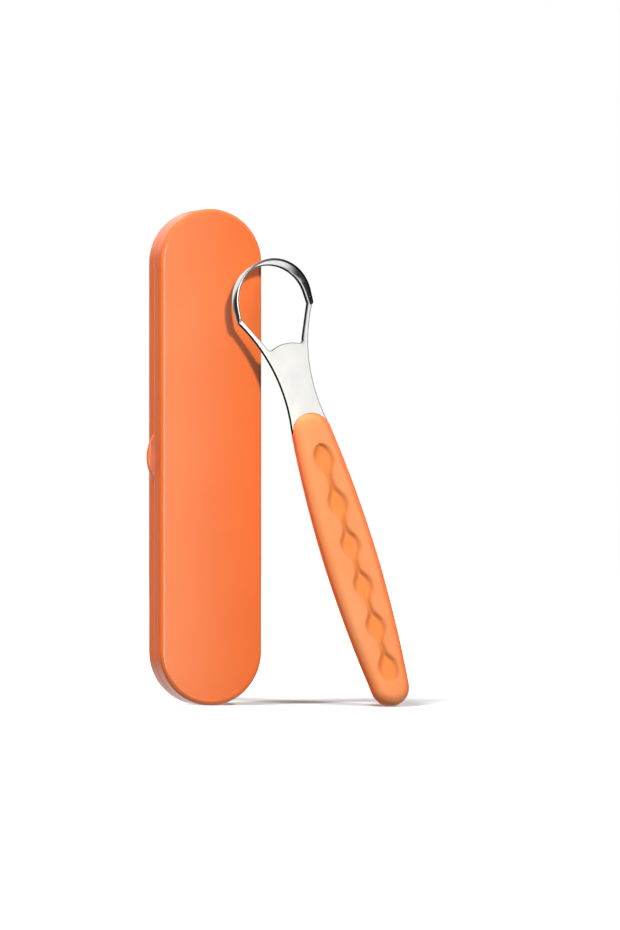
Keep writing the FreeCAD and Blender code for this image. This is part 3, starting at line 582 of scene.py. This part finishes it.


# The grip: a profile of inset and height carried round the spindle, over a softly crowned face that dips
# along the chain of hollows, round the edge, along the side and over the back face. Painted shade deepens the
# hollows and browns their walls, more on the right, and painted shade round the sides reaches further in on
# the right and at the mouth.
def gripSurface():
    across, along, normalX, normalY, inward = spindleWalk()
    edge, thick = grip["edgeRadius"], grip["thickness"] / 2
    share = np.sin(np.linspace(math.pi / 2, 0, grip["faceSteps"]))[:, None]
    bend = np.linspace(0, math.pi / 2, 15)[1:, None]
    faceInset = edge + share * (inward - edge)
    faceRise = thick - grip["crown"] * (1 - share) ** 2 + 0 * faceInset
    roundInset = edge * (1 - np.sin(bend)) + 0 * inward
    roundRise = thick - grip["crown"] - edge + edge * np.cos(bend) + 0 * inward
    inset = np.concatenate([faceInset, roundInset, roundInset[::-1], faceInset[::-1]])
    out = np.concatenate([faceRise, roundRise, -roundRise[::-1], -faceRise[::-1]])
    x, z = across - inset * normalX, along - inset * normalY
    within = (hollowHalf(z) - np.abs(x)) / hollow["wall"]
    blend = np.clip(within + hollow["wallStart"], 0, 1)
    dip = blend ** 2 * (3 - 2 * blend)
    onFace = inset > edge
    out = out - np.sign(out) * hollow["depth"] * dip * onFace
    # painted shade: brownish in the walls of the hollows, stronger on the right
    shade = np.where(x > 0, hollow["shadeRight"], hollow["shadeLeft"])
    wall = np.exp(-((within - hollow["shadeMiddle"]) / hollow["shadeSpread"]) ** 2) * onFace * shade
    # painted shade: a deeper orange round the sides, reaching further in on the right and at the mouth
    reach = grip["sideShadeReach"] + grip["sideShadeRight"] * normalX + grip["sideShadeUp"] * normalY
    reach = edge * np.maximum(reach, grip["sideShadeLeast"])
    sideShadeMark = np.clip(1 - inset / reach, 0, 1) ** grip["sideShadeFall"] * grip["sideShade"]
    return surface(leaned(x, z, out), wrapColumns=True, hollow=dip, wall=wall, side=sideShadeMark)


gripParts = gripSurface()
# where the scraper's own origin lies
tail = np.array(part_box("handle_grip")[0]) / mm - gripParts["points"].min(0)
gripParts["points"] = gripParts["points"] + tail
makePiece("handleGrip", [gripParts], "scraper", gripRubber, ["handle_grip"], 60)

blade = {"sheet": 1.4, "loopRadius": 14.95, "legLength": 4.45, "legSplay": 0.1, "openingRadius": 13.15,
         "openingRise": 0.55, "openingLeg": 4.0, "openingSplay": 0.1, "band": 0.9, "bandHeight": 8.1,
         "bandEnd": 3.3, "bandEndRadius": 1.6, "bandRound": 0.4, "crotchDrop": 17.05, "crotchWidth": 14.7,
         "crotchCorner": 1.65, "crotchHump": 1.25, "neckReach": 8.3, "neckWidth": 12.6, "shoulderWidth": 14.6,
         "shoulderLength": 6.0, "tangWidth": 9.0, "tangLength": 77.0, "edgeRound": 0.3,
         "nearEdge": 0.35, "nearShare": 0.3, "ringDark": (25, 45, 100, 120)}
loopHeight = scraper["length"] - blade["loopRadius"]
loopLow = loopHeight - blade["legLength"]


# Points on the circle through three points, from the first to the last.
def arcThrough(first, via, last, count):
    first, via, last = np.array(first), np.array(via), np.array(last)
    a, b = via - first, last - first
    cross = 2 * (a[0] * b[1] - a[1] * b[0])
    centre = first + np.array([b[1] * (a @ a) - a[1] * (b @ b), a[0] * (b @ b) - b[0] * (a @ a)]) / cross
    turns = np.unwrap([math.atan2(*(spot - centre)[::-1]) for spot in (first, via, last)])
    turn = np.linspace(turns[0], turns[2], count)
    return centre + np.hypot(*(first - centre)) * np.stack([np.cos(turn), np.sin(turn)], -1)


# Spreads a count of points evenly over a line of points.
def evenly(line, count):
    walked = np.concatenate([[0], np.cumsum(np.hypot(*np.diff(line, axis=0).T))])
    spots = np.linspace(0, walked[-1], count)
    return np.stack([np.interp(spots, walked, line[:, 0]), np.interp(spots, walked, line[:, 1])], -1)


# Unit normals to the right of a line of points, seen along it.
def rightNormals(line):
    step = np.gradient(line, axis=0)
    step = step / np.maximum(np.hypot(*step.T), 1e-9)[:, None]
    return np.stack([step[:, 1], -step[:, 0]], -1)


# The right half of a loop line: up a leg that splays at its foot, in steps that grow with the square of their
# number, then round a quarter circle to the top.
def halfLoop(radius, leg, splay, legSteps, arcSteps, rise=0.0):
    share = 1 - np.linspace(0, 1, legSteps, endpoint=False) ** 2
    turn = np.linspace(0, math.pi / 2, arcSteps)
    middle = loopHeight + rise
    foot = np.stack([radius + splay * share, middle - leg * share], -1)
    return np.concatenate([foot, np.stack([radius * np.cos(turn), middle + radius * np.sin(turn)], -1)])


# Half of the flat pressing lies between an inner line, up the middle and round the crotch and the opening,
# and an outer line, up the tang, the curved neck and the loop. A section crosses from one to the other on the
# front, over the rounded edge and back behind; the edge of the opening is a strip of its own. Painted shade
# darkens the rounded edges, the right-hand rim of the opening and the ring over its top.
def platePieces(sign):
    shoulderTop = grip["length"] - grip["mouthRadius"] + blade["shoulderLength"] / 2
    tangTop = shoulderTop - blade["shoulderLength"]
    tangEnd, tangHalf = tangTop - blade["tangLength"], blade["tangWidth"] / 2
    shoulder, rounding, sheet = blade["shoulderWidth"] / 2, blade["edgeRound"], blade["sheet"] / 2
    sunk = blade["band"] / 2  # the ring ends inside the band
    loop = halfLoop(blade["loopRadius"] - sunk, blade["legLength"], blade["legSplay"] + sunk, 16, 60)
    neckVia = (blade["neckWidth"] / 2, grip["length"] + blade["neckReach"])
    neck = arcThrough((shoulder, shoulderTop), neckVia, tuple(loop[0]), 80)[:-1]
    turn = np.linspace(0, math.pi / 2, 10)
    tang = np.stack([tangHalf * np.sin(turn), tangEnd + tangHalf * (1 - np.cos(turn))], -1)
    root = np.array([[tangHalf, tangTop], [shoulder, tangTop + 0.01]])
    outer = np.concatenate([tang, root, neck, loop])
    crotch, corner = loopHeight - blade["crotchDrop"], blade["crotchCorner"]
    foot, peak = blade["crotchWidth"] / 2 - corner, crotch + blade["crotchHump"]
    hump = arcThrough((-foot, crotch), (0, peak), (foot, crotch), 41)[20:]
    bend = np.stack([foot + corner * np.sin(turn), crotch + corner * (1 - np.cos(turn))], -1)
    opening = halfLoop(blade["openingRadius"], blade["openingLeg"], blade["openingSplay"], 16, 60,
                       blade["openingRise"])
    fork = evenly(np.concatenate([hump, bend[1:], opening[:1]]), 48)[:-1]
    stem = np.linspace(shoulderTop, peak, len(neck) - len(fork), endpoint=False)
    heights = np.concatenate([outer[:len(tang) + len(root), 1], stem])
    edgeLine = np.concatenate([fork, opening])
    inner = np.concatenate([np.stack([0 * heights, heights], -1), edgeLine])
    outward, inward = rightNormals(outer), rightNormals(edgeLine)
    outward[0] = inward[0] = (0, -1)
    outward[-1] = inward[-1] = (0, 1)
    ease = np.linspace(math.pi / 2, -math.pi / 2, 8)
    easeIn = rounding * (1 - np.cos(ease))
    easeUp = np.sign(ease) * (sheet - rounding) + rounding * np.sin(ease)
    rim = outer - easeIn[:, None, None] * outward
    start = inner.copy()
    start[-len(edgeLine):] += rounding * inward
    near = np.minimum(blade["nearEdge"] / np.hypot(*(rim[0] - start).T), blade["nearShare"])
    # five lines across the flat, one close beside each edge; the painted shade fades from line to line
    across = np.stack([0 * near, near, 0 * near + 0.35, 0 * near + 0.65, 1 - near])
    flat = start + (rim[0] - start) * across[..., None]
    plan = np.concatenate([flat, rim, flat[::-1]])
    out = np.pad(easeUp, len(across), mode="edge")[:, None]
    edgeShadeLip = np.where(np.abs(ease) < 1.2, 1.0, 0.3)[:, None]
    theta = np.degrees(np.arctan2(edgeLine[:, 1] - loopHeight, edgeLine[:, 0] * sign))
    # painted shade over the ring at the top of the opening
    ring = np.interp(theta, blade["ringDark"], [0, 1, 1, 0])
    # painted shade on the right-hand rim of the opening
    line = np.maximum(np.clip(inward[:, 0] * sign * 1.5 - 0.4, 0, 1), ring)
    edgeShadeFlat = np.zeros(across.shape)
    edgeShadeFlat[:, -len(edgeLine):] = np.stack([line, line * 0.6, ring * 0.7, ring * 0.6, ring * 0.4])
    # painted shade over the whole left outer edge
    edgeShadeOuter = np.ones_like(edgeShadeLip) if sign < 0 else edgeShadeLip  # the left outer edge is dark all over
    edgeShadePlate = np.concatenate([edgeShadeFlat, edgeShadeOuter + 0 * near, edgeShadeFlat[::-1]])
    lip = edgeLine + easeIn[:, None, None] * inward
    plate = leaned(plan[..., 0] * sign, plan[..., 1], out)
    strip = leaned(lip[..., 0] * sign, lip[..., 1], easeUp[:, None])
    edgeShadeStrip = np.concatenate([line[None], edgeShadeLip[1:-1] + 0 * line, line[None]])  # its ends match the plate
    return [surface(plate + tail, cut=edgeShadePlate), surface(strip + tail, cut=edgeShadeStrip)]


# The band stands forward from the loop: a section with rounded edges, as tall as the band is there, carried
# round the loop line. The front edge slopes evenly from the top of the loop to the fork, where a quarter
# round that touches the slope ends it. That edge carries painted shade, more so on the right.
def bandSurface():
    rightHalf = halfLoop(blade["loopRadius"], blade["legLength"], blade["legSplay"], 24, 80)
    line = np.concatenate([rightHalf, rightHalf[-2::-1] * (-1, 1)])
    normal = rightNormals(line)
    quarter = np.linspace(0, math.pi / 2, 7)
    soft, back = blade["bandRound"], -blade["sheet"] / 2
    angle = np.concatenate([math.pi - quarter, math.pi / 2 - quarter, -quarter, -math.pi / 2 - quarter])
    inset = np.repeat([1, 0, 0, 1], len(quarter)) * (blade["band"] - 2 * soft) + soft * (1 - np.cos(angle))
    plan = line[:, None] - inset[:, None] * normal[:, None]
    slope = math.atan2(blade["bandHeight"] - blade["bandEnd"], blade["loopRadius"] + blade["legLength"])
    end, above = blade["bandEndRadius"], np.maximum(plan[..., 1] - loopLow, 0)
    touch = end * (1 - math.sin(slope)) / math.cos(slope)
    rounded = blade["bandEnd"] - touch + np.sqrt(end ** 2 - (end - np.minimum(above, end)) ** 2)
    tall = np.where(above < touch * math.cos(slope), rounded, blade["bandEnd"] + above * math.tan(slope))
    isFront = np.repeat([1, 1, 0, 0], len(quarter))
    out = np.where(isFront, back + tall - soft, back + soft) + soft * np.sin(angle)
    # painted shade on the front edge, stronger on the right
    cut = isFront * np.clip(np.sin(angle) * 4 - 1, 0, 1) * np.clip(0.75 + 0.35 * normal[:, :1], 0, 1)
    cut = np.concatenate([cut[:1], cut, cut[-1:]])
    return surface(closeEnds(leaned(plan[..., 0], plan[..., 1], out)) + tail, wrapColumns=True, cut=cut)


bladeSteel = steelMaterial("bladeSteel", {"clean": (0.83, 0.83, 0.83, 1), "smudged": (0.80, 0.80, 0.80, 1),
                                          "cut": (0.006, 0.006, 0.006, 1), "polish": 0.10, "streaks": 5000.0,
                                          "smudges": 160.0, "turn": (0, math.radians(75), 0)})
scraperBlade = makePiece("scraperBlade", platePieces(1) + platePieces(-1) + [bandSurface()],
                         "scraper", bladeSteel, ["scraper_blade"], 30)
core = frame["nodes"]["handle_core"]
core.data.materials.clear()
core.data.materials.append(corePlastic)
print("scraper made")

# White studio: a pale floor that keeps the shadow, a key lamp ahead and high up, one above on the left, and
# fills from the left, the right and behind. A lamp has its place from the aim, its width and height, all in
# metres, and its share of white. The sheen lamp lights highlights alone.
studio = {"floor": 0.68, "floorShade": 0.985, "ambient": 0.05, "bounce": 0.4, "sheenTint": (1, 0.94, 0.68)}
lamps = {"keyLamp": ((0.32, -1.6, 1.14), 0.2, 0.2, 0.95), "topLamp": ((-0.75, -0.25, 1.84), 0.2, 0.2, 0.85),
         "sideLamp": ((-1.97, 0.1, 0.24), 0.8, 0.8, 0.37), "backLamp": ((1.6, 0.9, 0.7), 0.8, 0.8, 0.32),
         "rearLamp": ((-0.3, 1.95, 0.2), 0.8, 0.8, 0.5),
         "sheenLamp": ((0.056, -0.368, 0.003), 0.08, 0.35, 0.29)}
view = {"fromCase": (35.58, -13.64), "aimHeight": 87.2, "towards": (-0.358, -0.9336), "distance": 1878.0,
        "height": 75.0, "lens": 200.0, "sensor": 36.0, "clipEnd": 20.0}
aim = np.array([caseX + view["fromCase"][0], partingY + view["fromCase"][1], view["aimHeight"]]) * mm


# The floor glows white to the camera, except in an oval round the object's foot, where its shadow shows. The
# oval's two axes are given as a direction over the half-length in metres, with the middle's place along it.
def floorMaterial():
    oval = {"across": ((18.7, -7.16, 0), 0.33), "deep": ((3.58, 9.34, 0), 0.68), "inner": 0.8, "outer": 1.6,
            "glowInside": 0.02, "glowOutside": 1.0}
    material, tree, shader, place = newMaterial("paleFloor")
    paper = addNode(tree, "ShaderNodeTexNoise", Vector=place, Scale=900.0, Detail=3.0).outputs[0]
    pale = (studio["floor"],) * 3 + (1,)
    shade = (studio["floor"] * studio["floorShade"],) * 3 + (1,)
    tree.links.new(addMix(tree, paper, pale, shade), shader.inputs["Base Color"])
    tree.links.new(addMath(tree, "MULTIPLY_ADD", paper, 0.1, 0.8), shader.inputs["Roughness"])
    shader.inputs["Emission Color"].default_value = (1, 1, 1, 1)
    seen = addNode(tree, "ShaderNodeLightPath").outputs["Is Camera Ray"]
    spread = []
    for along, middle in (oval["across"], oval["deep"]):
        dot = addNode(tree, "ShaderNodeVectorMath", Vector=place)
        dot.operation = "DOT_PRODUCT"
        dot.inputs[1].default_value = along
        spread.append(addMath(tree, "POWER", addMath(tree, "SUBTRACT", dot.outputs["Value"], middle), 2.0))
    away = addMath(tree, "ADD", *spread)
    fade = addRange(tree, away, oval["inner"], oval["outer"], oval["glowInside"], oval["glowOutside"])
    tree.links.new(addMath(tree, "MULTIPLY", seen, fade), shader.inputs["Emission Strength"])
    return material


def makeFloor():
    mesh = bpy.data.meshes.new("studioFloor")
    reach = np.array([[-3, -3, 0], [3, -3, 0], [3, 3, 0], [-3, 3, 0]], float)
    mesh.from_pydata(reach.tolist(), [], [[0, 1, 2, 3]])
    mesh.materials.append(floorMaterial())
    floor = bpy.data.objects.new("studioFloor", mesh)
    bpy.context.scene.collection.objects.link(floor)
    floor.visible_glossy = floor.visible_diffuse = False


# The world is white to the camera and a dim fill to matt surfaces. Shiny ones mirror white with dark openings
# behind on the left and right, ahead and at both sides, and a bright level strip ahead on the left. Each
# range is where a region fades in or out along one part of the direction.
def makeWorld():
    glow = {"white": 0.97, "darkening": -0.95, "frontDark": 0.8, "besideDark": 0.8, "strip": 10.0,
            "leftX": (-0.32, -0.24), "lowX": (-0.22, 0.2), "lowZ": (-0.46, -0.39), "rightX": (0.22, 0.36),
            "rightZ": (0.02, 0.14), "behindY": (0.1, 0.4), "frontY": (-0.7, -0.5), "frontZ": (0.05, 0.25),
            "besideX": (0.75, 0.9), "stripLeftX": (-0.45, -0.35), "stripRightX": (-0.05, 0.08),
            "stripY": (-0.6, -0.4), "stripZ": (0.18, 0.3), "bounceZ": (-0.7, -0.35)}
    world = bpy.data.worlds.new("studioGlow")
    bpy.context.scene.world = world
    world.use_nodes = True
    tree = world.node_tree
    path = addNode(tree, "ShaderNodeLightPath").outputs
    direction = addNode(tree, "ShaderNodeTexCoord").outputs["Generated"]
    axes = addNode(tree, "ShaderNodeSeparateXYZ", Vector=direction).outputs
    x, y, z = axes["X"], axes["Y"], axes["Z"]

    def past(axis, name, most=1.0):
        return addRange(tree, axis, *glow[name], 0.0, most)

    def before(axis, name, most=1.0):
        return addRange(tree, axis, *glow[name], most, 0.0)

    def both(first, second):
        return addMath(tree, "MULTIPLY", first, second)

    def either(first, second):
        return addMath(tree, "MAXIMUM", first, second)

    left = either(before(x, "leftX"), both(before(x, "lowX"), before(z, "lowZ")))
    right = both(past(x, "rightX"), past(z, "rightZ"))
    sides = both(either(left, right), past(y, "behindY"))
    front = both(before(y, "frontY", glow["frontDark"]), before(z, "frontZ"))
    beside = past(addMath(tree, "ABSOLUTE", x), "besideX", glow["besideDark"])
    dark = either(either(sides, front), beside)
    strip = both(both(past(x, "stripLeftX"), before(x, "stripRightX")), before(y, "stripY", glow["strip"]))
    strip = both(strip, before(addMath(tree, "ABSOLUTE", z), "stripZ"))
    shine = addMath(tree, "ADD", addMath(tree, "MULTIPLY_ADD", dark, glow["darkening"], glow["white"]), strip)
    clear = either(path["Is Camera Ray"], path["Is Transmission Ray"])
    glossy = both(path["Is Glossy Ray"], addMath(tree, "SUBTRACT", 1.0, clear))
    rest = addMath(tree, "SUBTRACT", 1.0, addMath(tree, "ADD", clear, glossy), clamp=True)
    strength = addMath(tree, "MULTIPLY_ADD", glossy, shine, clear)
    ambient = addRange(tree, z, *glow["bounceZ"], studio["bounce"], studio["ambient"])
    strength = addMath(tree, "MULTIPLY_ADD", rest, ambient, strength)
    tree.links.new(strength, tree.nodes["Background"].inputs["Strength"])
    tree.nodes["Background"].inputs["Color"].default_value = (1, 1, 1, 1)


# A panel lamp at a place given from the aim, turned to it, whose power gives the asked share of white there.
def addLamp(name, place, wide, tall, share, shiny=False):
    lamp = bpy.data.lights.new(name, "AREA")
    place = np.array(place, float)
    away = np.linalg.norm(place)
    lamp.shape, lamp.size, lamp.size_y = "RECTANGLE", wide, tall
    lamp.energy = share * (math.pi * away) ** 2
    made = bpy.data.objects.new(name, lamp)
    made.location = aim + place
    made.rotation_euler = turnTo(-place)
    bpy.context.scene.collection.objects.link(made)
    made.visible_glossy, made.visible_diffuse, made.visible_camera = shiny, not shiny, False
    if shiny:
        lamp.color = studio["sheenTint"]


# The turn at which a lamp or camera, which looks down its own Z, faces along a direction.
def turnTo(direction):
    flat = math.hypot(direction[0], direction[1])
    return (math.atan2(flat, -direction[2]), 0, math.atan2(-direction[0], direction[1]))


makeFloor()
makeWorld()
for name, (place, wide, tall, share) in lamps.items():
    addLamp(name, place, wide, tall, share, shiny=name == "sheenLamp")
for piece in (frontShell, rearShell, scraperBlade):
    piece.visible_glossy = False  # not mirrored in one another
print("studio made")

# Long lens from the front left, a little below the middle of the case.
camera = bpy.data.objects.new("camera", bpy.data.cameras.new("camera"))
camera.data.lens = view["lens"]
camera.data.sensor_width = view["sensor"]
away = np.array(view["towards"]) / np.hypot(*view["towards"]) * view["distance"] * mm
camera.location = (aim[0] + away[0], aim[1] + away[1], view["height"] * mm)
camera.rotation_euler = turnTo(aim - np.array(camera.location))
camera.data.clip_end = view["clipEnd"]
bpy.context.scene.collection.objects.link(camera)
bpy.context.scene.camera = camera
bpy.context.scene.view_settings.view_transform = "Standard"
print("camera made")
